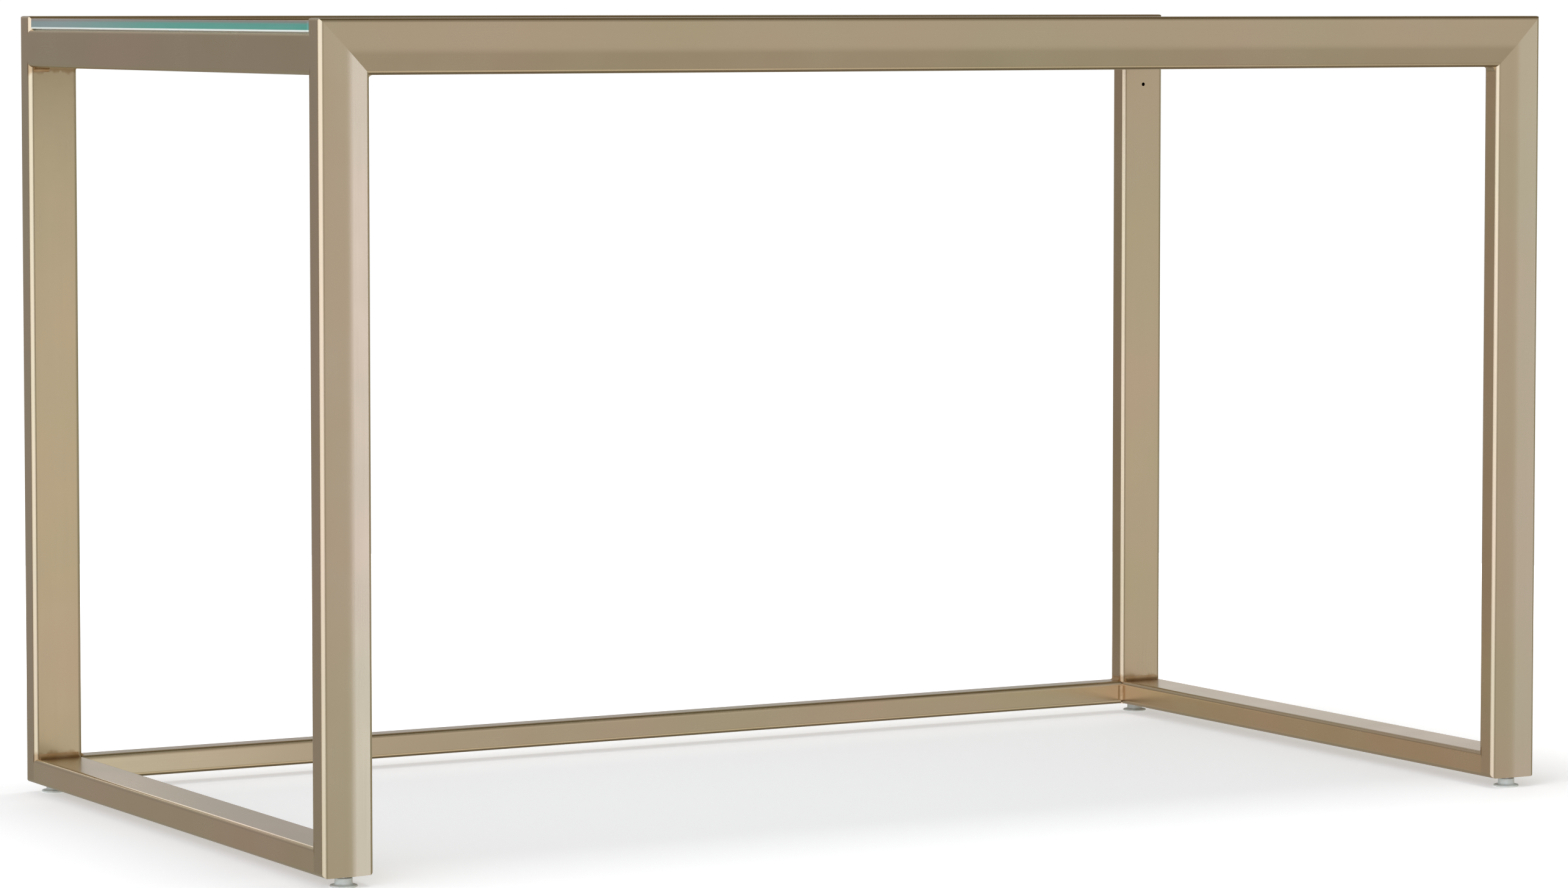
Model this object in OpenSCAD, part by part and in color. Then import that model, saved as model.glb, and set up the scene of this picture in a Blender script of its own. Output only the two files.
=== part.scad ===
// Desk with a welded frame of flat steel tube, a lift-off glass top that lies on
// the lowered side rails, and four levelling feet that screw in and out.
// Origin: middle of the footprint, on the floor. +X runs across the width from
// left to right, +Y from the open front to the back, +Z up. Millimetres.

/* [Overall size] */
// Width over the outer faces of the legs
desk_w = 1320; // [900:10:1800]
// Depth over the front and back frames
desk_d = 700; // [450:10:900]
// Height from the floor to the top of the frames
desk_h = 764; // [650:1:900]

/* [Frame tube] */
// Face width of the leg, rail and side stretcher tube
tube_w = 50; // [44:1:60]
// Thickness of the leg, rail and stretcher tube
tube_t = 25; // [22:1:32]
// Wall thickness of the tube
wall = 1.5; // [1.2:0.1:2]
// Radius of the tube's long edges
edge_r = 4.5; // [2.5:0.1:6]
// Distance from the frame's outer edge to the crease of its bevelled face
crease_at = 28; // [22:1:32]
// How far the bevelled face falls back at the opening
bevel_drop = 2.5; // [1:0.5:4]
// Radius that softens the crease of the bevelled face
crease_r = 60; // [20:5:80]
// Radius of the frame's outer top corners
corner_r = 3; // [1:0.5:3]
// Radius of the legs' lower corners
foot_corner_r = 4.5; // [1:0.5:4.5]
// Radius of the weld fillets in the inner corners
fillet_r = 4.5; // [2:0.5:6]

/* [Side rails] */
// Width of a side rail, across X
side_rail_w = 25; // [20:1:32]

/* [Glass top] */
// Thickness of the glass
glass_t = 10; // [6:1:12]
// How far the front and back rails stand above the glass
glass_lip = 2.5; // [2:0.5:6]
// Gap between the glass and the front or back rail
glass_gap = 1.5; // [1:0.5:4]
// How far the glass's end edges stay inside the legs' outer faces
glass_inset = 1; // [0.5:0.5:5]
// Width of the ground arris on the glass's edges
arris = 1; // [0.5:0.1:1.5]
// Thickness of the clear bumpers under the glass
bumper_t = 0.5; // [0.4:0.1:2]
// Radius of a bumper
bumper_r = 5; // [4:0.5:8]

/* [Glass support tabs] */
// Width of a tab, along its rail
tab_w = 40; // [20:5:60]
// How far a tab reaches under the glass
tab_reach = 24; // [16:1:40]
// Thickness of a tab
tab_t = 3; // [2:0.5:5]

/* [Levelling feet] */
// Gap between the frame and the floor with the feet screwed right in
foot_gap = 10; // [8:0.5:14]
// Radius of the foot pad
pad_r = 12.5; // [11:0.5:16]
// Radius of the pad's hub
hub_r = 8; // [7:0.5:10]
// Radius of the threaded stud
stud_r = 4; // [3:0.5:5]
// Length of the stud above its collar
stud_l = 28; // [22:1:40]

/* [Vent hole] */
// Radius of the vent hole in the right back leg
vent_r = 2; // [1:0.5:3]
// Distance of the vent hole below the top of the frame
vent_drop = 76; // [60:1:120]

/* [Hidden] */

champagne = "#b7a37c";
clear_glass = "#8fc4b8";
clear_rubber = "#e6e6e0";
zinc = "#a9acae";
nylon = "#c9ccc9";

round_fn = 64;
spill = 1;                            // how far a cutter runs past what it cuts
crossing = 0.005;                     // lets an arc cross a slope, where it would only touch it
half_w = desk_w / 2;
half_d = desk_d / 2;
bevel_angle = atan(bevel_drop / (tube_w - crease_at));
crease_half = crease_r * tan(bevel_angle / 2);  // from the crease to where its arc begins

// the glass and the side rails that carry it
glass_top_z = desk_h - glass_lip;
glass_low_z = glass_top_z - glass_t;
side_rail_z = glass_low_z - bumper_t;           // top of the side rails
side_rail_h = tube_w - (desk_h - side_rail_z);  // level with the rails' lower edges
glass_w = desk_w - 2 * glass_inset;
glass_d = desk_d - 2 * (tube_t + glass_gap);

// the feet
plate_t = 3;              // thickness of the plate that closes a leg
plate_clear = 0.5;        // clearance of the stud in that plate
nut_h = 8;                // height of the weld nut
nut_flats = 13;           // its width across flats
thread_clear = 0.05;      // running clearance of the stud in the nut and the pad
pad_base_h = 3;           // height of the pad's wide base
pad_h = 8.4;              // height to the top of the pad's hub
pad_edge_r = 1;           // rounding of the pad's top edge
socket_h = 3;             // depth of the pad's socket
collar_r = 7;             // radius of the collar that is turned to set the foot
collar_h = 1.2;           // its height
stud_tip = 1;             // chamfer at the stud's upper end

// left and right, and front and back, as signs
SIDES = [-1, 1];

// Rectangle with round corners, its low corner at the origin
module round_rect(w, h, r) {
    translate([r, 0]) square([w - 2 * r, h]);
    translate([0, r]) square([w, h - 2 * r]);
    for (x = [r, w - r], y = [r, h - r])
        translate([x, y]) circle(r, $fn = round_fn);
}

// Solid section of the bevelled tube, shrunk all round by inset. x runs from the
// frame's outer edge towards its opening, y from its outward face inwards.
module bevel_section(inset) {
    r = edge_r - inset;
    slope_x = tube_w - edge_r;
    slope_y = (slope_x - crease_at) * tan(bevel_angle) + edge_r / cos(bevel_angle);
    arc_x = crease_at - crease_half;
    arc_r = crease_r - inset;
    arc_end = [arc_x + arc_r * sin(bevel_angle), crease_r - arc_r * cos(bevel_angle)];
    polygon([
        [inset, edge_r],
        [edge_r, inset],
        [arc_x, inset],
        arc_end,
        [slope_x + r * sin(bevel_angle), slope_y - r * cos(bevel_angle)],
        [tube_w - inset, slope_y],
        [tube_w - inset, tube_t - edge_r],
        [tube_w - edge_r, tube_t - inset],
        [edge_r, tube_t - inset],
        [inset, tube_t - edge_r],
    ]);
    for (c = [[edge_r, edge_r],
              [tube_w - edge_r, tube_t - edge_r], [edge_r, tube_t - edge_r]])
        translate(c) circle(r, $fn = round_fn);
    translate([slope_x, slope_y]) circle(r + crossing, $fn = round_fn);
    intersection() {
        translate([arc_x, crease_r]) circle(arc_r + crossing, $fn = 4 * round_fn);
        translate([arc_x - spill, inset - spill])
            square([arc_end[0] - arc_x + 2 * spill, 2 * spill]);
    }
}

module bevel_tube(length) {
    linear_extrude(length) difference() {
        bevel_section(0);
        bevel_section(wall);
    }
}

module plain_section(w, h, hollow) {
    difference() {
        round_rect(w, h, edge_r);
        if (hollow)
            translate([wall, wall])
                round_rect(w - 2 * wall, h - 2 * wall, edge_r - wall);
    }
}

// Stands an outline drawn in x and z upright, running in Y over the front frame
module across_frame() {
    translate([0, -half_d + tube_t + spill, 0])
        rotate([90, 0, 0]) linear_extrude(tube_t + 2 * spill) children();
}

// What lies beyond the mitre at the left top corner, on the rail's side
module mitre_rail_side() {
    across_frame() polygon([
        [-half_w - spill, desk_h + spill],
        [-half_w + tube_w + spill, desk_h - tube_w - spill],
        [-half_w + tube_w + spill, desk_h + spill],
    ]);
}

// What lies beyond the mitre at the left top corner, on the leg's side
module mitre_leg_side() {
    across_frame() polygon([
        [-half_w - spill, desk_h + spill],
        [-half_w - spill, desk_h - tube_w - spill],
        [-half_w + tube_w + spill, desk_h - tube_w - spill],
    ]);
}

// What is cut away to round a corner at the top left, in x and z
module outside_round(r) {
    difference() {
        translate([-spill, -r]) square(r + spill);
        translate([r, -r]) circle(r, $fn = round_fn);
    }
}

// Rounds the left top corner of the front frame
module corner_rounding() {
    across_frame() translate([-half_w, desk_h]) outside_round(corner_r);
}

// Rounds the lower corners of the front left leg, or only the outer one where
// the back stretcher meets the inner one
module foot_rounding(back) {
    across_frame() translate([-half_w + tube_w / 2, foot_gap]) mirror([0, 1])
        for (side = back ? [0] : [0, 1]) mirror([side, 0])
            translate([-tube_w / 2, 0]) outside_round(foot_corner_r);
}

// Front left leg, with its bevelled face to the front
module frame_leg(back) {
    color(champagne) difference() {
        translate([-half_w, -half_d, foot_gap]) bevel_tube(desk_h - foot_gap);
        mitre_rail_side();
        corner_rounding();
        foot_rounding(back);
    }
}

// Concave weld fillet of a length along Z, lying on the planes x = 0 and y = 0
module fillet(length) {
    linear_extrude(length) difference() {
        square(fillet_r);
        translate([fillet_r, fillet_r]) circle(fillet_r, $fn = round_fn);
    }
}

// Weld fillet in the front frame's left inner corner
module corner_fillet() {
    translate([-half_w + tube_w, -half_d + edge_r + bevel_drop, desk_h - tube_w])
        rotate([-90, 0, 0]) fillet(tube_t - 2 * edge_r - bevel_drop);
}

// Front rail, mitred onto both legs
module frame_rail() {
    color(champagne) {
        difference() {
            translate([-half_w, -half_d, desk_h])
                rotate([0, 90, 0]) bevel_tube(desk_w);
            for (side = [0, 1]) mirror([side, 0, 0]) {
                mitre_leg_side();
                corner_rounding();
            }
        }
        for (side = [0, 1]) mirror([side, 0, 0]) corner_fillet();
    }
}

// Runs an outline drawn in x and z along Y, between two depths
module along_y(from, to) {
    translate([0, to, 0]) rotate([90, 0, 0]) linear_extrude(to - from) children();
}

// Tube from the front to the back frame on the left, w wide and h high, with its
// underside at z. Weld metal, ground flush, fills the grooves that the legs'
// round edges would leave beside it.
module side_tube(w, h, z) {
    inner_y = half_d - tube_t;
    color(champagne) {
        along_y(-inner_y, inner_y)
            translate([-half_w, z]) plain_section(w, h, true);
        for (end = [0, 1]) mirror([0, end, 0]) intersection() {
            along_y(-inner_y - edge_r, -inner_y)
                translate([-half_w, z]) plain_section(w, h, false);
            translate([-half_w + tube_w / 2, -inner_y - edge_r, z]) linear_extrude(h)
                for (side = [0, 1]) mirror([side, 0]) translate([-tube_w / 2, 0])
                    difference() {
                        square(edge_r);
                        translate([edge_r, 0]) circle(edge_r, $fn = round_fn);
                    }
        }
    }
}

module leg_front_left() { frame_leg(false); }
module leg_front_right() { mirror([1, 0, 0]) frame_leg(false); }
module leg_back_left() { mirror([0, 1, 0]) frame_leg(true); }
module leg_back_right() {
    color(champagne) difference() {
        rotate([0, 0, 180]) frame_leg(true);
        translate([half_w - tube_w / 2, half_d - tube_t - spill, desk_h - vent_drop])
            rotate([-90, 0, 0]) cylinder(r = vent_r, h = wall + 2 * spill, $fn = round_fn);
    }
}
module front_rail() { frame_rail(); }
module back_rail() { mirror([0, 1, 0]) frame_rail(); }
module side_rail_left() { side_tube(side_rail_w, side_rail_h, desk_h - tube_w); }
module side_rail_right() { mirror([1, 0, 0]) side_rail_left(); }
module stretcher_left() { side_tube(tube_w, tube_t, foot_gap); }
module stretcher_right() { mirror([1, 0, 0]) stretcher_left(); }
module stretcher_back() {
    color(champagne)
        translate([-half_w + tube_w, half_d - tube_t, foot_gap])
            rotate([90, 0, 90]) linear_extrude(desk_w - 2 * tube_w)
                plain_section(tube_t, tube_t, true);
}

// Puts something drawn at the front left leg at all four legs
module at_each_leg() {
    for (mx = [0, 1], my = [0, 1])
        mirror([mx, 0, 0]) mirror([0, my, 0]) children();
}

// Weld fillets where stretchers and side rails meet the legs and each other
module weld_fillets() {
    inner_x = -half_w + tube_w;       // the left legs' faces towards the opening
    inner_y = half_d - tube_t;        // the back legs' faces towards the front
    tops = foot_gap + tube_t;         // upper faces of the stretchers
    flat = tube_t - 2 * edge_r;       // flat part of a stretcher's narrow face
    color(champagne) {
        at_each_leg() {
            // on a side stretcher, then under a side rail and beside it
            translate([-half_w + edge_r, -inner_y, tops])
                rotate([90, 0, 90]) fillet(tube_w - 2 * edge_r);
            translate([-half_w + edge_r, -inner_y, desk_h - tube_w]) mirror([0, 0, 1])
                rotate([90, 0, 90]) fillet(side_rail_w - 2 * edge_r);
            translate([-half_w + side_rail_w, -inner_y, desk_h - tube_w + edge_r])
                fillet(side_rail_h - 2 * edge_r);
        }
        for (mx = [0, 1]) mirror([mx, 0, 0]) {
            // on the back stretcher, and between it and a side stretcher
            translate([inner_x, inner_y + edge_r, tops])
                rotate([0, -90, -90]) fillet(flat - bevel_drop);
            translate([inner_x, inner_y, foot_gap + edge_r])
                mirror([0, 1, 0]) fillet(flat);
        }
    }
}

// Where the tabs stand along the front and back rails
function tab_x() = desk_w / 6;

// Flat tabs welded inside the front and back rails, under the glass
module glass_tabs() {
    color(champagne)
        for (sx = SIDES, sy = SIDES)
            translate([sx * tab_x(), sy * (half_d - tube_t - tab_reach / 2),
                       side_rail_z - tab_t / 2])
                cube([tab_w, tab_reach, tab_t], center = true);
}

// Clear bumpers: three on each side rail and one on each tab
module glass_bumpers() {
    rail_x = half_w - side_rail_w / 2;
    end_y = half_d - tube_t - 3 * bumper_r;
    tab_y = half_d - tube_t - tab_reach / 2;
    spots = concat(
        [for (sx = SIDES, y = [-end_y, 0, end_y]) [sx * rail_x, y]],
        [for (sx = SIDES, sy = SIDES) [sx * tab_x(), sy * tab_y]]
    );
    color(clear_rubber) for (p = spots)
        translate([p[0], p[1], side_rail_z])
            cylinder(r = bumper_r, h = bumper_t, $fn = round_fn);
}

// Rectangle about the origin with its corners cut off at 45 degrees
module cut_rect(w, h, cut) {
    polygon([
        [-w / 2 + cut, -h / 2], [w / 2 - cut, -h / 2],
        [w / 2, -h / 2 + cut], [w / 2, h / 2 - cut],
        [w / 2 - cut, h / 2], [-w / 2 + cut, h / 2],
        [-w / 2, h / 2 - cut], [-w / 2, -h / 2 + cut],
    ]);
}

// Glass plate with a ground arris along every edge
module glass_top() {
    color(clear_glass)
        translate([0, 0, glass_low_z + glass_t / 2]) intersection() {
            linear_extrude(glass_t, center = true)
                cut_rect(glass_w, glass_d, 2 * arris);
            rotate([90, 0, 0]) linear_extrude(glass_d, center = true)
                cut_rect(glass_w, glass_t, arris);
            rotate([90, 0, 90]) linear_extrude(glass_w, center = true)
                cut_rect(glass_d, glass_t, arris);
        }
}

// Middle of a leg's section, for the left front leg
foot_x = -half_w + tube_w / 2;
foot_y = -half_d + tube_t / 2;

// Plates that close the legs' lower ends
module foot_plates() {
    color(champagne) for (mx = [0, 1], my = [0, 1])
        mirror([mx, 0, 0]) mirror([0, my, 0]) difference() {
            translate([-half_w, -half_d, foot_gap])
                linear_extrude(plate_t) bevel_section(wall);
            translate([foot_x, foot_y, foot_gap - spill])
                cylinder(r = stud_r + plate_clear, h = plate_t + 2 * spill, $fn = round_fn);
            foot_rounding(my == 1);
        }
}

// Nuts welded on the plates, inside the legs
module weld_nuts() {
    color(zinc) at_each_leg()
        translate([foot_x, foot_y, foot_gap + plate_t]) difference() {
            cylinder(d = nut_flats / cos(30), h = nut_h, $fn = 6);
            translate([0, 0, -spill])
                cylinder(r = stud_r + thread_clear, h = nut_h + 2 * spill, $fn = round_fn);
        }
}

// Nylon pad that stands on the floor, with a blind socket for the stud
module foot_pad(sx, sy) {
    color(nylon) translate([-sx * foot_x, -sy * foot_y, 0]) difference() {
        rotate_extrude($fn = round_fn) {
            square([pad_r - pad_edge_r, pad_base_h]);
            square([pad_r, pad_base_h - pad_edge_r]);
            translate([pad_r - pad_edge_r, pad_base_h - pad_edge_r])
                intersection() {
                    circle(pad_edge_r, $fn = round_fn);
                    square(pad_edge_r);
                }
            square([hub_r, pad_h]);
        }
        translate([0, 0, pad_h - socket_h])
            cylinder(r = stud_r + thread_clear, h = socket_h + spill, $fn = round_fn);
    }
}

// Threaded stud with the collar that is turned to raise or lower the leg
module foot_stud(sx, sy) {
    collar_z = pad_h + thread_clear;
    top_z = collar_z + collar_h + stud_l;
    color(zinc) translate([-sx * foot_x, -sy * foot_y, 0]) {
        translate([0, 0, pad_h - socket_h + thread_clear])
            cylinder(r = stud_r, h = top_z - stud_tip - (pad_h - socket_h + thread_clear),
                     $fn = round_fn);
        translate([0, 0, top_z - stud_tip])
            cylinder(r1 = stud_r, r2 = stud_r - stud_tip, h = stud_tip, $fn = round_fn);
        translate([0, 0, collar_z])
            cylinder(r = collar_r, h = collar_h, $fn = round_fn);
    }
}

leg_front_left();
leg_front_right();
leg_back_left();
leg_back_right();
front_rail();
back_rail();
side_rail_left();
side_rail_right();
stretcher_left();
stretcher_right();
stretcher_back();
weld_fillets();
glass_tabs();
glass_bumpers();
glass_top();
foot_plates();
weld_nuts();
foot_pad(-1, -1);  // foot_pad_front_left
foot_pad(1, -1);  // foot_pad_front_right
foot_pad(-1, 1);  // foot_pad_back_left
foot_pad(1, 1);  // foot_pad_back_right
foot_stud(-1, -1);  // foot_stud_front_left
foot_stud(1, -1);  // foot_stud_front_right
foot_stud(-1, 1);  // foot_stud_back_left
foot_stud(1, 1);  // foot_stud_back_right
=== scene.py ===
import math

import bmesh
import bpy
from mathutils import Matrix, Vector


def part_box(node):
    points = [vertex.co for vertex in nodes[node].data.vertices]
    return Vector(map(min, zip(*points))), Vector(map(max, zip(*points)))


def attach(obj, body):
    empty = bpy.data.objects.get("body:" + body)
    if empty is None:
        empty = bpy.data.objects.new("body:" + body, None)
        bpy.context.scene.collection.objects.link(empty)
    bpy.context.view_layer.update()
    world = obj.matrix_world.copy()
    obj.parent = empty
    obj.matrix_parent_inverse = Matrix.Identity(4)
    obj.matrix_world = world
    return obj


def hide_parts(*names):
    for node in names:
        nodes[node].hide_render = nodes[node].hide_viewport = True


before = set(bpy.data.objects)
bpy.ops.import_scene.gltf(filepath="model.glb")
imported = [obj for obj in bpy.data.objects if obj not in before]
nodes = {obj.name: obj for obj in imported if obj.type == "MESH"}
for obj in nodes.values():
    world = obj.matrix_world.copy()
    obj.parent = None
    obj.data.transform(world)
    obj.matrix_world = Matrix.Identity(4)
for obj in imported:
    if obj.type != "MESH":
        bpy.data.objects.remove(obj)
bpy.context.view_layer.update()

scene = bpy.context.scene
CORNERS = ("front_left", "front_right", "back_left", "back_right")
INNER_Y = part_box("side_rail_left")[1].y
RAIL_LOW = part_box("side_rail_left")[0].z
STRETCHER_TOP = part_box("stretcher_left")[1].z
STRIP_DISTANCE = 2.5  # from the middle of a tube to the soft strip that lights it


# ---------------------------------------------------------------- camera

def make_camera():
    """The photograph's viewpoint: just above the table top, from the front left."""
    data = bpy.data.cameras.new("camera")
    data.sensor_width = 36
    data.lens = 126.67
    data.shift_y = -0.06
    camera = bpy.data.objects.new("camera", data)
    camera.location = (-2.66886, -4.72536, 0.77874)
    camera.rotation_euler = (math.radians(86.38), 0, math.radians(-29.47))
    scene.collection.objects.link(camera)
    scene.camera = camera


# ---------------------------------------------------------------- node graphs

class Graph:
    """A node tree with short calls for the few kinds of node used here."""

    def __init__(self, tree):
        self.tree = tree

    def add(self, kind, settings=None, **inputs):
        node = self.tree.nodes.new(kind)
        for name, value in (settings or {}).items():
            setattr(node, name, value)
        for name, value in inputs.items():
            self.put(node.inputs[name.replace("_", " ")], value)
        return node

    def put(self, socket, value):
        if isinstance(value, bpy.types.NodeSocket):
            self.tree.links.new(value, socket)
        else:
            socket.default_value = value

    def math(self, operation, a, b=0.0):
        node = self.add("ShaderNodeMath", {"operation": operation})
        self.put(node.inputs[0], a)
        self.put(node.inputs[1], b)
        return node.outputs[0]

    def remap(self, value, low, high, to_low, to_high, smooth=False):
        node = self.add(
            "ShaderNodeMapRange",
            {"interpolation_type": "SMOOTHSTEP" if smooth else "LINEAR"},
            Value=value, From_Min=low, From_Max=high, To_Min=to_low, To_Max=to_high,
        )
        return node.outputs["Result"]

    def mix(self, factor, a, b):
        node = self.add("ShaderNodeMix", {"data_type": "RGBA"})
        self.put(node.inputs[0], factor)
        self.put(node.inputs[6], a)
        self.put(node.inputs[7], b)
        return node.outputs[2]

    def place(self, scale=(1, 1, 1), offset=(0, 0, 0)):
        """Object coordinates, stretched and then shifted."""
        coordinates = self.add("ShaderNodeTexCoord").outputs["Object"]
        return self.add(
            "ShaderNodeMapping", Vector=coordinates, Scale=scale, Location=offset
        ).outputs["Vector"]

    def noise(self, scale, detail=2.0, offset=(0, 0, 0)):
        node = self.add(
            "ShaderNodeTexNoise", Vector=self.place(scale, offset), Scale=1.0, Detail=detail
        )
        return node.outputs["Fac"]

    def split(self, vector):
        return self.add("ShaderNodeSeparateXYZ", Vector=vector).outputs

    def bump(self, height, strength, distance, normal=None):
        node = self.add("ShaderNodeBump", Height=height, Strength=strength, Distance=distance)
        if normal is not None:
            self.put(node.inputs["Normal"], normal)
        return node.outputs["Normal"]


def material(name, **sockets):
    """A new material, a Graph on its nodes, and its shader with some sockets set."""
    made = bpy.data.materials.new(name)
    made.use_nodes = True
    shader = made.node_tree.nodes["Principled BSDF"]
    for socket, value in sockets.items():
        shader.inputs[socket.replace("_", " ")].default_value = value
    return made, Graph(made.node_tree), shader


def rgb(*values):
    return (*values, 1.0)


# ---------------------------------------------------------------- metals

def champagne(name, along, shaded_joints=False):
    """Satin champagne lacquer on steel tube, its faint grain running along one axis.

    Where asked, painted shade darkens it beside the joints.
    """
    brown_gold, olive_gold = rgb(0.605, 0.465, 0.32), rgb(0.565, 0.472, 0.305)
    dark_streak, pale_cloud = rgb(0.52, 0.40, 0.25), rgb(0.62, 0.53, 0.38)
    # The brown of the painted shade beside the joints.
    joint_shade_brown = rgb(0.36, 0.23, 0.11)
    made, g, shader = material(name, Metallic=1.0, Coat_Weight=0.12, Coat_Roughness=0.1)
    fine, broad = [900.0] * 3, [60.0] * 3
    fine[along], broad[along] = 12.0, 0.8
    grain = g.noise(fine, 3.0)
    streak = g.noise(broad, 2.0, (3.1, 5.7, 1.3))
    mottle = g.noise((4.5, 4.5, 4.5), 1.5, (7.3, 2.9, 4.1))
    cloud = g.noise((16.0, 16.0, 16.0), 2.0, (1.7, 8.2, 6.4))
    tone = g.mix(g.remap(mottle, 0.35, 0.65, 0, 1), brown_gold, olive_gold)
    tone = g.mix(g.remap(streak, 0.3, 0.7, 0, 0.14), tone, dark_streak)
    tone = g.mix(g.remap(cloud, 0.4, 0.7, 0, 0.2), tone, pale_cloud)
    # Painted shade: darker brown on the legs' inner sides under the side rails and over the
    # stretchers.
    if shaded_joints:
        tone = g.mix(painted_joint_shade(g), tone, joint_shade_brown)
    g.put(shader.inputs["Base Color"], tone)
    satin = g.remap(grain, 0.3, 0.7, 0.225, 0.245)
    haze = g.remap(cloud, 0.3, 0.7, 0, 0.04)
    g.put(shader.inputs["Roughness"], g.math("ADD", satin, haze))
    texture = g.bump(grain, 0.04, 0.00004)
    g.put(shader.inputs["Normal"], g.bump(streak, 0.06, 0.0003, texture))
    return made


def painted_joint_shade(g):
    """Painted shade on a leg's inner side, below the side rail and above the stretcher: a band
    with a ragged edge, 3 to 11 mm wide."""
    _, y, z = g.split(g.place())
    inside = g.remap(g.math("ABSOLUTE", y), INNER_Y, INNER_Y + 0.002, 1, 0, True)
    edge = g.noise((110.0, 110.0, 30.0), 2.0, (4.4, 9.1, 2.2))
    ragged = g.remap(edge, 0.3, 0.7, 0.003, 0.011)
    under = g.math("SUBTRACT", RAIL_LOW, z)
    over = g.math("SUBTRACT", z, STRETCHER_TOP)
    near = g.math("MINIMUM", g.math("ABSOLUTE", under), g.math("ABSOLUTE", over))
    reach = g.remap(g.math("DIVIDE", near, ragged), 0.4, 1.0, 0.75, 0, True)
    return g.math("MULTIPLY", inside, reach)


def weld_tint_and_shade(name):
    """The lacquer over the ripples of a weld, in darker browns: partly the weld's tint, partly
    painted shade along the joint.
    """
    brown, tan = rgb(0.40, 0.23, 0.09), rgb(0.52, 0.35, 0.19)
    made, g, shader = material(name, Metallic=0.85, Coat_Weight=0.3, Coat_Roughness=0.15)
    ripple = g.noise((420.0, 420.0, 420.0), 2.0)
    patch = g.noise((60.0, 60.0, 60.0), 2.0)
    # Painted shade, in part: these browns are darker than the lacquer, for the shade along the
    # joints.
    g.put(shader.inputs["Base Color"], g.mix(g.remap(patch, 0.35, 0.65, 0, 1), brown, tan))
    g.put(shader.inputs["Roughness"], g.remap(ripple, 0.3, 0.7, 0.3, 0.45))
    g.put(shader.inputs["Normal"], g.bump(ripple, 0.35, 0.0006))
    return made


def zinc(name):
    """Bright zinc plating with its faint bluish and yellowish bloom."""
    bluish, yellowish = rgb(0.58, 0.61, 0.66), rgb(0.68, 0.66, 0.58)
    made, g, shader = material(name, Metallic=1.0)
    bloom = g.noise((160.0, 160.0, 160.0), 3.0)
    scratch = g.noise((900.0, 900.0, 3000.0), 2.0)
    tone = g.mix(g.remap(bloom, 0.35, 0.65, 0, 1), bluish, yellowish)
    g.put(shader.inputs["Base Color"], tone)
    g.put(shader.inputs["Roughness"], g.remap(scratch, 0.3, 0.7, 0.2, 0.42))
    g.put(shader.inputs["Normal"], g.bump(scratch, 0.2, 0.0001))
    return made


# ---------------------------------------------------------------- glass, rubber, nylon

def clear_glass():
    """Clear glass, faintly green, with a few smears."""
    made, g, shader = material(
        "glass_clear", Transmission_Weight=1.0, IOR=1.52, Base_Color=rgb(0.93, 0.985, 0.965)
    )
    smear = g.noise((9.0, 14.0, 9.0), 4.0)
    g.put(shader.inputs["Roughness"], g.remap(smear, 0.55, 0.8, 0.0, 0.035))
    return made


def glass_edge():
    """The polished edge, where light gathered through the sheet comes out sea green.

    It turns grey towards the back, takes a brown painted reflection of the rail towards the top,
    and has a near-white painted highlight along its lower and back arrises.
    """
    sea_green, grey_green = rgb(0.055, 0.30, 0.225), rgb(0.20, 0.27, 0.26)
    pale_green, brown, arris_highlight_white = (
        rgb(0.15, 0.34, 0.30), rgb(0.24, 0.20, 0.17), rgb(0.86, 0.92, 0.84)
    )
    made, g, shader = material(
        "glass_edge", Transmission_Weight=0.2, IOR=1.52, Coat_Weight=0.3, Coat_Roughness=0.06
    )
    low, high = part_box("glass_top")
    position = g.split(g.place())
    depth = g.remap(position[1], low.y, high.y, 0, 1)
    height = g.remap(position[2], low.z, high.z, 0, 1)
    wave = g.noise((6.0, 6.0, 30.0), 2.0)
    tone = g.mix(g.remap(depth, 0.45, 0.95, 0, 1, True), sea_green, grey_green)
    tone = g.mix(g.remap(wave, 0.35, 0.65, 0, 0.3), tone, pale_green)
    # Painted reflection: brown towards the top, for the rail seen in the edge.
    tone = g.mix(g.remap(height, 0.62, 0.92, 0, 0.85, True), tone, brown)
    # Painted highlight: near white along the lower and back arrises.
    lower_arris_highlight = g.remap(height, 0.13, 0.22, 1, 0, True)
    back_arris_highlight = g.remap(depth, 0.9975, 0.9985, 0, 1, True)
    tone = g.mix(g.math("MAXIMUM", lower_arris_highlight, back_arris_highlight), tone, arris_highlight_white)
    g.put(shader.inputs["Base Color"], tone)
    polish = g.noise((260.0, 260.0, 1500.0), 2.0)
    g.put(shader.inputs["Roughness"], g.remap(polish, 0.3, 0.7, 0.1, 0.22))
    return made


def bumper_rubber():
    """Clear soft rubber, a little cloudy."""
    made, g, shader = material(
        "bumper_clear", Transmission_Weight=0.2, IOR=1.45, Base_Color=rgb(0.80, 0.81, 0.77)
    )
    skin = g.noise((500.0, 500.0, 500.0))
    g.put(shader.inputs["Roughness"], g.remap(skin, 0.3, 0.7, 0.18, 0.34))
    return made


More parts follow.
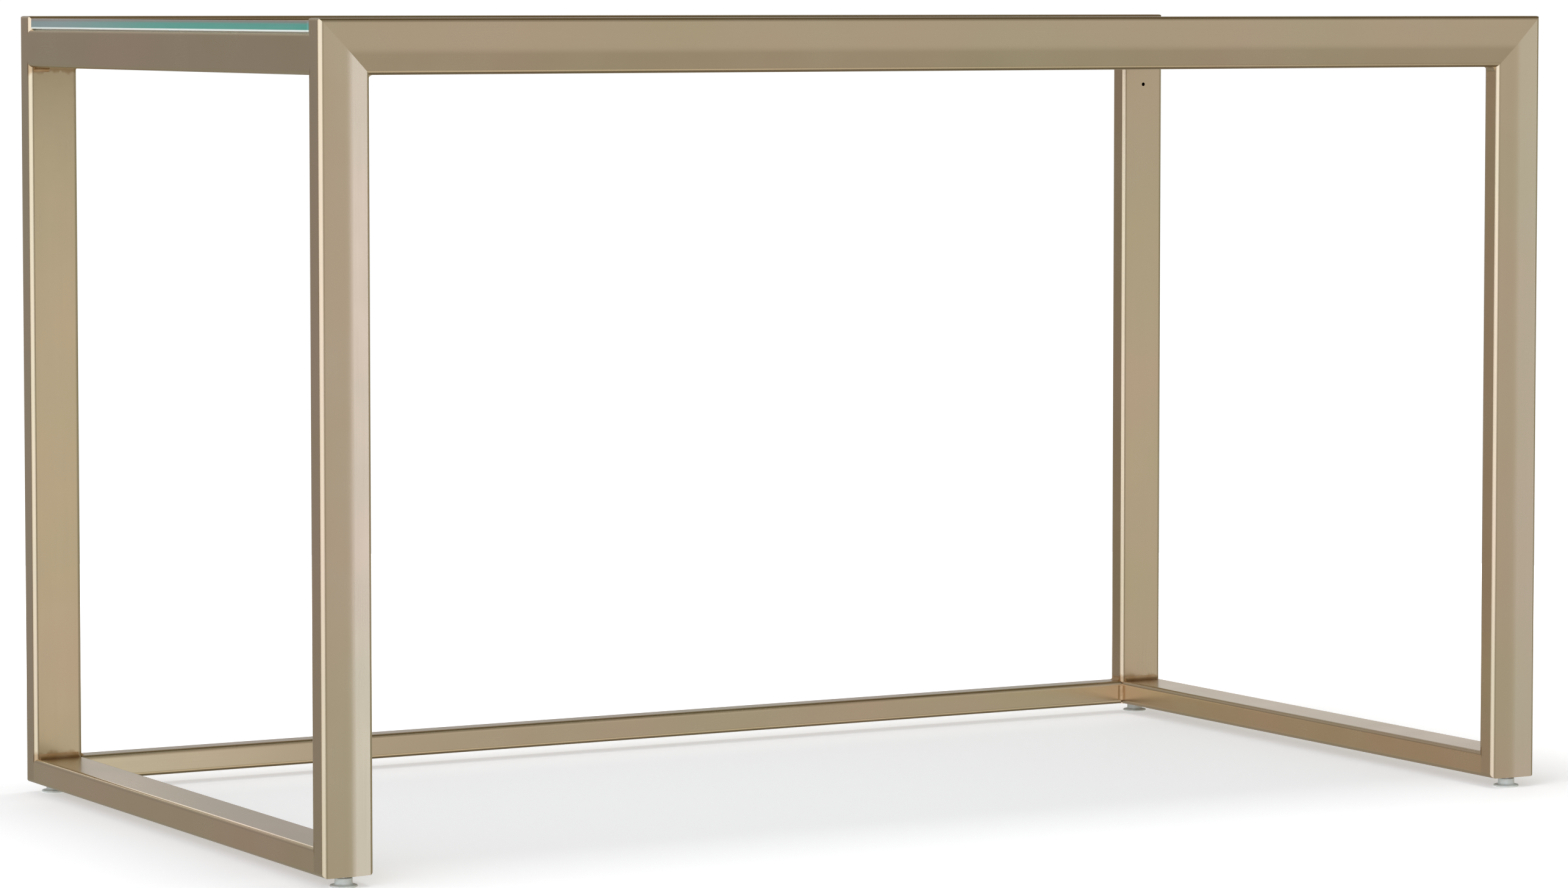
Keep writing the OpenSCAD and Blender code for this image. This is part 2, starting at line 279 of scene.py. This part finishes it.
def nylon():
    """Pale grey moulded nylon, slightly translucent, with a fine spark-eroded skin
    and a scuffed foot."""
    grey, pale_grey, scuffed = rgb(0.60, 0.62, 0.56), rgb(0.68, 0.70, 0.64), rgb(0.54, 0.56, 0.52)
    made, g, shader = material("nylon_pale_grey", Subsurface_Weight=0.1, Subsurface_Scale=0.002)
    skin = g.noise((2600.0, 2600.0, 2600.0), 2.0)
    cloud = g.noise((110.0, 110.0, 110.0), 3.0)
    tone = g.mix(g.remap(cloud, 0.35, 0.65, 0, 1), grey, pale_grey)
    scuff = g.remap(g.split(g.place())[2], 0.0, 0.0012, 0.5, 0, True)
    g.put(shader.inputs["Base Color"], g.mix(scuff, tone, scuffed))
    g.put(shader.inputs["Roughness"], g.remap(skin, 0.3, 0.7, 0.38, 0.52))
    g.put(shader.inputs["Normal"], g.bump(skin, 0.3, 0.00006))
    return made


# ---------------------------------------------------------------- mesh helpers

def make_object(name, mesh, *materials):
    made = bpy.data.objects.new(name, mesh)
    scene.collection.objects.link(made)
    for m in materials:
        mesh.materials.append(m)
    return made


def skin_rings(name, rings, materials, smooth_angle, side=0):
    """Skins closed rings of points, in order, and caps both ends flat.

    The skin takes material number side, and the caps take the first.
    """
    mesh = bpy.data.meshes.new(name)
    bm = bmesh.new()
    loops = [[bm.verts.new(p) for p in ring] for ring in rings]
    for a, b in zip(loops, loops[1:]):
        for j in range(len(a)):
            k = (j + 1) % len(a)
            face = bm.faces.new((a[j], a[k], b[k], b[j]))
            face.material_index = side
    bm.faces.new(list(reversed(loops[0])))
    bm.faces.new(loops[-1])
    bm.to_mesh(mesh)
    bm.free()
    mesh.set_sharp_from_angle(angle=math.radians(smooth_angle))
    for cap in (-2, -1):  # the caps were made last
        mesh.polygons[cap].use_smooth = False
    return make_object(name, mesh, *materials)


def turned(centre, radius_at, heights, segments):
    """Rings about a vertical axis; radius_at(angle, ring number) gives a point's radius."""
    return [
        [
            (
                centre.x + radius_at(t, i) * math.cos(t),
                centre.y + radius_at(t, i) * math.sin(t),
                z,
            )
            for t in (2 * math.pi * s / segments for s in range(segments))
        ]
        for i, z in enumerate(heights)
    ]


# ---------------------------------------------------------------- the glass sheet

def plate_ring(low, high, inset, z, corner=0.002, least=0.0004, steps=6):
    """The sheet's outline at one height, drawn in by inset, with rounded corners."""
    radius = max(corner - inset, least)
    points = []
    for cx, cy, start in (
        (high.x, high.y, 0), (low.x, high.y, 90), (low.x, low.y, 180), (high.x, low.y, 270)
    ):
        cx += (-1 if cx > 0 else 1) * (inset + radius)
        cy += (-1 if cy > 0 else 1) * (inset + radius)
        for s in range(steps + 1):
            t = math.radians(start + 90 * s / steps)
            points.append((cx + radius * math.cos(t), cy + radius * math.sin(t), z))
    return points


def build_glass(clear, edge):
    """The sheet, with a softened arris along its top and bottom edges."""
    low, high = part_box("glass_top")
    arris, steps = 0.001, 4
    profile = []
    for s in range(steps + 1):
        t = math.pi / 2 * s / steps
        profile.append((arris * (1 - math.sin(t)), arris * (1 - math.cos(t))))
    rings = [plate_ring(low, high, inset, low.z + rise) for inset, rise in profile]
    rings += [plate_ring(low, high, inset, high.z - rise) for inset, rise in reversed(profile)]
    plate = skin_rings("glass_sheet", rings, (clear, edge), 50, side=1)
    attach(plate, "glass")
    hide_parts("glass_top")


# ---------------------------------------------------------------- bumpers

def islands(node):
    """The box of each separate solid in a CAD node."""
    mesh = nodes[node].data
    bm = bmesh.new()
    bm.from_mesh(mesh)
    bmesh.ops.remove_doubles(bm, verts=bm.verts, dist=1e-6)
    left, found = set(bm.verts), []
    while left:
        stack, group = [next(iter(left))], []
        left.discard(stack[0])
        while stack:
            v = stack.pop()
            group.append(v.co.copy())
            for e in v.link_edges:
                other = e.other_vert(v)
                if other in left:
                    left.discard(other)
                    stack.append(other)
        low = Vector([min(p[i] for p in group) for i in range(3)])
        high = Vector([max(p[i] for p in group) for i in range(3)])
        found.append((low, high))
    bm.free()
    return sorted(found, key=lambda b: tuple(b[0]))


def build_bumpers(rubber):
    """Self-adhesive domes under the glass, pressed flat on top.

    The profile is in shares of the radius and height of the CAD bumper.
    """
    profile = (
        (1.0, 0.0), (1.0, 0.12), (0.96, 0.38), (0.88, 0.62), (0.76, 0.84), (0.62, 0.96), (0.5, 1.0)
    )
    for n, (low, high) in enumerate(islands("glass_bumpers")):
        centre = (low + high) / 2
        radius, height = (high.x - low.x) / 2, high.z - low.z
        heights = [low.z + height * h for _, h in profile]
        rings = turned(centre, lambda t, i: radius * profile[i][0], heights, 40)
        piece = skin_rings(f"bumper_{n + 1}", rings, (rubber,), 50)
        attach(piece, "frame")
        if n == 0:
            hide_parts("glass_bumpers")


# ---------------------------------------------------------------- levelling feet

def build_pad(corner, plastic):
    """A moulded pad: rounded rim, sloping flange, fillet, and a hub that grips the stud."""
    low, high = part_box(f"foot_pad_{corner}")
    centre = (low + high) / 2
    outer = (high.x - low.x) / 2
    top = high.z
    hub = 0.008
    socket, socket_mouth, socket_depth = 0.00415, 0.0045, 0.0029
    profile = [  # radius and height, from the recess underneath to the socket's floor
        (0.0030, 0.0006), (0.0034, 0.0), (outer - 0.0009, 0.0), (outer - 0.0003, 0.00025),
        (outer, 0.0008), (outer, 0.0012), (outer - 0.0003, 0.0017), (outer - 0.0010, 0.0020),
        (hub + 0.0014, 0.0023), (hub + 0.0007, 0.0026), (hub + 0.0002, 0.0031), (hub, 0.0037),
        (hub, top - 0.0008), (hub - 0.00025, top - 0.00025), (hub - 0.0008, top),
        (socket_mouth, top), (socket, top - 0.0004), (socket, top - socket_depth),
    ]
    rings = turned(centre, lambda t, i: profile[i][0], [z for _, z in profile], 72)
    piece = skin_rings(f"pad_{corner}", rings, (plastic,), 50)
    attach(piece, f"pad_{corner}")
    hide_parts(f"foot_pad_{corner}")


def build_stud(corner, metal):
    """An M8 x 1.25 stud with a chamfered hexagon for a spanner near its lower end."""
    low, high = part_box(f"foot_stud_{corner}")
    centre = (low + high) / 2
    pitch, major, minor = 0.00125, 0.004, 0.00335
    crest, flank = 1.15, 2.6  # how wide the thread's crest is, and how steep its sides
    lead_in, lead_drop = 0.0012, 0.0004  # the thread's tapered start at the top
    flats, hex_corner, chamfer_radius = 0.006, 0.0070, 0.0062
    hex_height, chamfer, clearance = 0.0012, 0.0003, 0.00005
    hex_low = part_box(f"foot_pad_{corner}")[1].z + clearance
    hex_high = hex_low + hex_height
    segments = 48

    def thread(t, z):
        phase = ((z / pitch) - t / (2 * math.pi)) % 1.0
        wave = min(1.0, max(0.0, crest - abs(phase - 0.5) * flank))
        lead = min(1.0, (high.z - z) / lead_in)
        return minor + (major - minor) * wave * lead - lead_drop * (1 - lead)

    steps = int((high.z - hex_high) / (pitch / 8))
    stations = [
        ("shank", low.z), ("shank", hex_low),
        ("chamfer", hex_low), ("hex", hex_low + chamfer),
        ("hex", hex_high - chamfer), ("chamfer", hex_high),
    ]
    stations += [
        ("thread", hex_high + (high.z - hex_high) * s / steps) for s in range(steps + 1)
    ]

    def radius(t, i):
        kind, z = stations[i]
        if kind == "thread":
            return thread(t, z)
        if kind == "shank":
            return minor
        across = flats / math.cos((t + math.pi / 6) % (math.pi / 3) - math.pi / 6)
        return min(across, hex_corner if kind == "hex" else chamfer_radius)

    rings = turned(centre, radius, [z for _, z in stations], segments)
    piece = skin_rings(f"stud_{corner}", rings, (metal,), 40)
    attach(piece, f"stud_{corner}")
    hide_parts(f"foot_stud_{corner}")


# ---------------------------------------------------------------- finish on the CAD nodes

def dress(node, finish):
    for slot in nodes[node].material_slots:
        slot.material = finish


def dress_frame():
    """Lacquers each tube with the grain along it; only the upright legs get painted shade beside
    the joints.
    """
    grain = {
        axis: champagne(f"champagne_{axis}", i, shaded_joints=axis == "z")
        for i, axis in enumerate("xyz")
    }
    for corner in CORNERS:
        dress(f"leg_{corner}", grain["z"])
    for node in ("front_rail", "back_rail", "stretcher_back", "foot_plates"):
        dress(node, grain["x"])
    for node in (
        "side_rail_left", "side_rail_right", "stretcher_left", "stretcher_right", "glass_tabs"
    ):
        dress(node, grain["y"])
    dress("weld_fillets", weld_tint_and_shade("champagne_weld"))


# ---------------------------------------------------------------- studio

def direction(azimuth, elevation):
    """A direction from the table, in degrees: azimuth 0 is the front, 90 the right."""
    a, e = math.radians(azimuth), math.radians(elevation)
    return (math.sin(a) * math.cos(e), -math.cos(a) * math.cos(e), math.sin(e))


def make_world():
    """Soft boxes and flags as a smooth pattern of directions, for light and reflections.

    The camera sees a white backdrop, straight and through the glass.
    """
    world = bpy.data.worlds.new("studio")
    scene.world = world
    world.use_nodes = True
    g = Graph(world.node_tree)
    background = world.node_tree.nodes["Background"]
    way = g.add("ShaderNodeTexCoord").outputs["Generated"]
    height = g.split(way)[2]
    ramp_node = g.add("ShaderNodeValToRGB", Fac=g.remap(height, -1, 1, 0, 1))
    ramp = ramp_node.color_ramp
    stops = (  # height of the direction, from straight down to straight up, and colour
        (-1.0, (0.15, 0.14, 0.10)), (-0.85, (0.20, 0.18, 0.14)), (-0.6, (0.40, 0.38, 0.34)),
        (-0.4, (0.38, 0.37, 0.34)), (-0.25, (0.36, 0.35, 0.31)), (-0.1, (0.44, 0.44, 0.41)),
        (0.0, (0.60, 0.59, 0.58)), (0.25, (0.52, 0.51, 0.50)), (0.55, (0.44, 0.43, 0.41)),
        (0.8, (0.46, 0.45, 0.43)),
    )
    for z, colour in stops:
        stop = ramp.elements.new((z + 1) / 2) if z > -1 else ramp.elements[0]
        stop.color = rgb(*colour)
    ramp.elements.remove(ramp.elements[-1])
    light = ramp_node.outputs["Color"]
    above_floor = g.remap(height, -0.25, -0.12, 0, 1, True)
    # Each patch: its middle, how far it is full, where it has faded (degrees), its colour.
    for azimuth, elevation, inner, outer, colour in (
        (28, -38, 8, 22, (0.95, 0.92, 0.84)),
        (-78, 4, 26, 56, (1.50, 1.58, 1.80)),
        (-55, 4, 20, 46, (1.66, 1.78, 2.08)),
        (92, 58, 20, 31, (0.15, 0.125, 0.075)),
        (-141, 2, 12, 26, (0.28, 0.235, 0.185)),
        (-160, 2, 9, 18, (0.385, 0.365, 0.365)),
        (150, 8, 15, 35, (0.50, 0.50, 0.50)),
        (95, 1, 25, 48, (0.43, 0.43, 0.37)),
        (29, 2, 14, 26, (0.70, 0.70, 0.69)),
    ):
        aim = g.add("ShaderNodeVectorMath", {"operation": "DOT_PRODUCT"})
        g.put(aim.inputs[0], way)
        g.put(aim.inputs[1], direction(azimuth, elevation))
        faded, full = math.cos(math.radians(outer)), math.cos(math.radians(inner))
        share = g.remap(aim.outputs["Value"], faded, full, 0, 1, True)
        if elevation > 0:  # the upper patches stop at the floor
            share = g.math("MULTIPLY", share, above_floor)
        light = g.mix(share, light, rgb(*colour))
    ray = g.add("ShaderNodeLightPath").outputs
    bounces = g.math("ADD", ray["Diffuse Depth"], ray["Glossy Depth"])
    unbounced = g.math("LESS_THAN", bounces, 0.5)
    through = g.math("MULTIPLY", ray["Is Transmission Ray"], unbounced)
    light = g.mix(through, light, rgb(1.3, 1.3, 1.3))
    g.put(background.inputs["Color"], g.mix(ray["Is Camera Ray"], light, rgb(1.05, 1.05, 1.05)))


def make_floor():
    """A pale floor that fades to the white of the backdrop away from the table."""
    made, g, shader = material("floor_white", Base_Color=rgb(0.86, 0.86, 0.86), Roughness=0.7)
    x, y, _ = g.split(g.place())
    squares = g.math("ADD", g.math("MULTIPLY", x, x), g.math("MULTIPLY", y, y))
    reach = g.math("SQRT", squares)
    shader.inputs["Emission Color"].default_value = rgb(0.99, 0.985, 0.98)
    g.put(shader.inputs["Emission Strength"], g.remap(reach, 0.9, 1.5, 0.40, 1.0, True))
    mesh = bpy.data.meshes.new("floor")
    bm = bmesh.new()
    bmesh.ops.create_circle(bm, cap_ends=True, segments=96, radius=2.4)
    bm.to_mesh(mesh)
    bm.free()
    floor = make_object("floor", mesh, made)
    floor.location.z = -0.0002  # just clear of the pads' undersides
    floor.visible_glossy = False
    floor.visible_shadow = False


def make_lamp(name, size, energy, location, aim, colour=(1, 1, 1), only=()):
    """A rectangular soft box turned to a point; only, if given, is what it lights."""
    data = bpy.data.lights.new(name, "AREA")
    data.shape = "RECTANGLE"
    data.size, data.size_y = size
    data.energy = energy
    data.color = colour
    lamp = bpy.data.objects.new(name, data)
    lamp.location = location
    lamp.rotation_euler = (Vector(location) - Vector(aim)).to_track_quat("Z", "Y").to_euler()
    lamp.visible_camera = False
    scene.collection.objects.link(lamp)
    if only:
        group = bpy.data.collections.new(f"{name}_lights")
        for piece in only:
            group.objects.link(piece)
        lamp.light_linking.receiver_collection = group
    return lamp


def make_lights():
    """An overhead soft box for the floor's shadow, and strips that each light one tube.

    Each strip: its name, its tube, how far along the tube's box it points, the
    direction that it shines from (degrees), and its size, energy and colour.
    """
    overhead = make_lamp("overhead", (1.2, 1.6), 72, (0, 0, 3.6), (0, 0, 0))
    overhead.visible_glossy = False
    overhead.visible_transmission = False
    for name, tube, at, azimuth, elevation, size, energy, colour in (
        ("leg_front_left", "leg_front_left", 0.5, 42, -2, (0.5, 2.2), 5.4, (0.56, 0.67, 1.0)),
        ("leg_front_right", "leg_front_right", 0.5, 45, -2, (0.6, 2.2), 3.0, (0.5, 0.68, 1.0)),
        ("leg_back_left", "leg_back_left", 0.5, 22, -9, (1.0, 1.2), 0.8, (1.0, 0.86, 0.76)),
        ("leg_back_right", "leg_back_right", 0.5, 33, -10, (1.0, 1.1), 0.4, (1.0, 0.9, 0.8)),
        ("back", "stretcher_back", 0.0, 21, -9, (0.5, 0.7), 0.8, (0.8, 0.9, 1.0)),
        ("right_face", "stretcher_right", 0.5, -145, -8, (1.6, 1.0), 0.85, (1.0, 0.80, 0.60)),
        ("right_top", "stretcher_right", 0.5, 145, 8, (1.6, 1.0), 1.3, (1.0, 0.96, 0.9)),
        ("left_face", "stretcher_left", 0.5, -155, -9, (1.6, 1.0), 0.3, (1.0, 0.88, 0.74)),
        ("left_band", "stretcher_left", 0.5, 172, 21, (1.2, 0.5), 2.2, (1.0, 0.97, 0.97)),
        ("right_leg", "leg_front_right", 0.5, -143, -4, (0.8, 1.6), 0.5, (1.0, 0.9, 0.85)),
    ):
        low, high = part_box(tube)
        aim = low.lerp(high, at)
        place = aim + STRIP_DISTANCE * Vector(direction(azimuth, elevation))
        make_lamp(f"strip_{name}", size, energy, place, aim, colour, (nodes[tube],))


make_camera()
dress_frame()
zinc_metal = zinc("zinc_bright")
dress("weld_nuts", zinc_metal)
build_glass(clear_glass(), glass_edge())
build_bumpers(bumper_rubber())
plastic = nylon()
for corner in CORNERS:
    build_pad(corner, plastic)
    build_stud(corner, zinc_metal)
make_world()
make_floor()
make_lights()
scene.view_settings.view_transform = "Standard"
